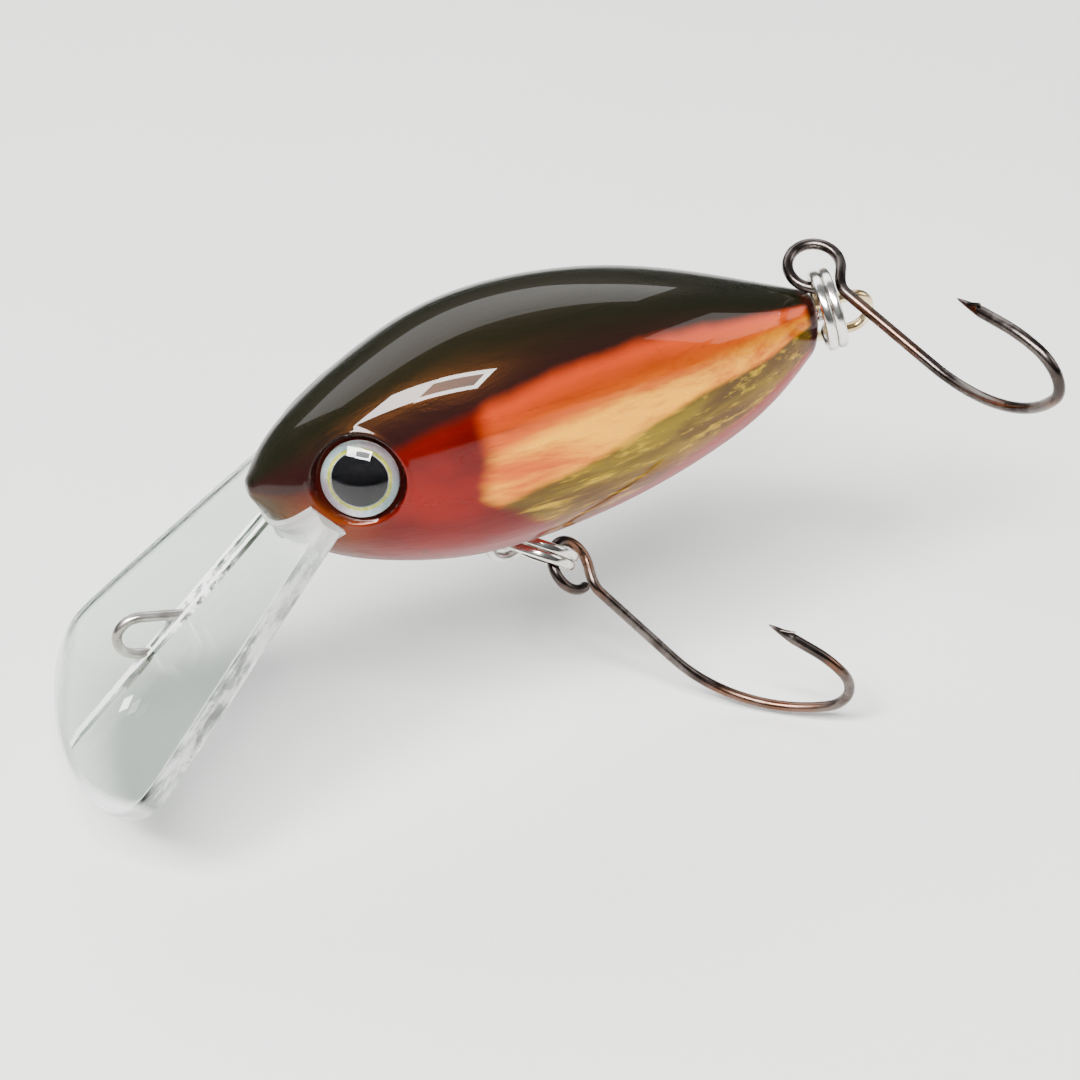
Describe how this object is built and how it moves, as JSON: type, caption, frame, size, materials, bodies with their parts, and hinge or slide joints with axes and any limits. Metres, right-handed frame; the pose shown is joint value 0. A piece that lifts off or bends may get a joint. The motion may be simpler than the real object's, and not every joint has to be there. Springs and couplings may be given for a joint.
{
  "type": "diving lure with two hooks",
  "caption": "Short plump fish-shaped diving lure with a long clear lip, line-tie loop, domed eyes and single hooks hung on split rings from the belly and tail.",
  "frame": {"origin": "centre of the line-tie wire's loop, where the fishing line is tied", "axes": "+X from nose to tail along the body, +Z towards the back (upright in the water), left flank towards -Y"},
  "size_m": [0.0599, 0.0284, 0.0326],
  "materials": {
    "body_lacquer": "clear-coated airbrushed lacquer: near-black olive back, salmon to orange and olive-gold flanks, red cheeks and belly edge",
    "foil": "crinkled gold film",
    "clear_lip": "clear grey-green polycarbonate with a frosted rib and scuffed edges",
    "glue": "clear adhesive",
    "tie_wire": "drawn stainless wire",
    "hanger_wire": "bright golden wire",
    "eye_foil": "silver holographic ring with a thin yellow-green ring round a black pupil",
    "eye_lens": "clear domed resin",
    "ring_nickel": "bright nickel",
    "hook_black_nickel": "black nickel with brown highlights",
    "ballast": "dull grey weight",
    "ball_steel": "plain steel ball"
  },
  "bodies": {
    "lure_body": {"body_shell_left": "body_lacquer", "body_shell_right": "body_lacquer", "foil_panel_left": "foil", "foil_panel_right": "foil", "diving_lip": "clear_lip", "lip_glue_upper": "glue", "lip_glue_lower": "glue", "line_tie_wire": "tie_wire", "belly_hanger_wire": "hanger_wire", "tail_hanger_wire": "hanger_wire", "eye_film_left": "eye_foil", "eye_film_right": "eye_foil", "eye_dome_left": "eye_lens", "eye_dome_right": "eye_lens", "ballast_weight": "ballast"},
    "belly_ring": {"belly_split_ring": "ring_nickel"},
    "belly_hook": {"belly_hook": "hook_black_nickel"},
    "tail_ring": {"tail_split_ring": "ring_nickel"},
    "tail_hook": {"tail_hook": "hook_black_nickel"},
    "rattle_ball": {"rattle_ball": "ball_steel"}
  },
  "joints": [
    {"name": "belly_ring_swing", "type": "hinge", "parent": "lure_body", "child": "belly_ring", "pos_m": [0.02554, 0, -0.0013], "axis": [0.5583, 0.4833, 0.6744], "range_deg": [-22, 30]},
    {"name": "belly_hook_swing", "type": "hinge", "parent": "belly_ring", "child": "belly_hook", "pos_m": [0.02837, -0.00156, -0.00253], "axis": [0.0565, 0.7888, -0.612], "range_deg": [-20, 120]},
    {"name": "tail_ring_swing", "type": "hinge", "parent": "lure_body", "child": "tail_ring", "pos_m": [0.04689, 0, 0.01173], "axis": [1, 0, 0], "range_deg": [-50, 4]},
    {"name": "tail_hook_swing", "type": "hinge", "parent": "tail_ring", "child": "tail_hook", "pos_m": [0.04663, 0.00088, 0.01409], "axis": [-0.1007, -0.3696, 0.9237], "range_deg": [-8, 150]},
    {"name": "rattle_ball_roll", "type": "slide", "parent": "lure_body", "child": "rattle_ball", "axis": [1, 0, 0], "range_m": [0, 0.0026]}
  ]
}
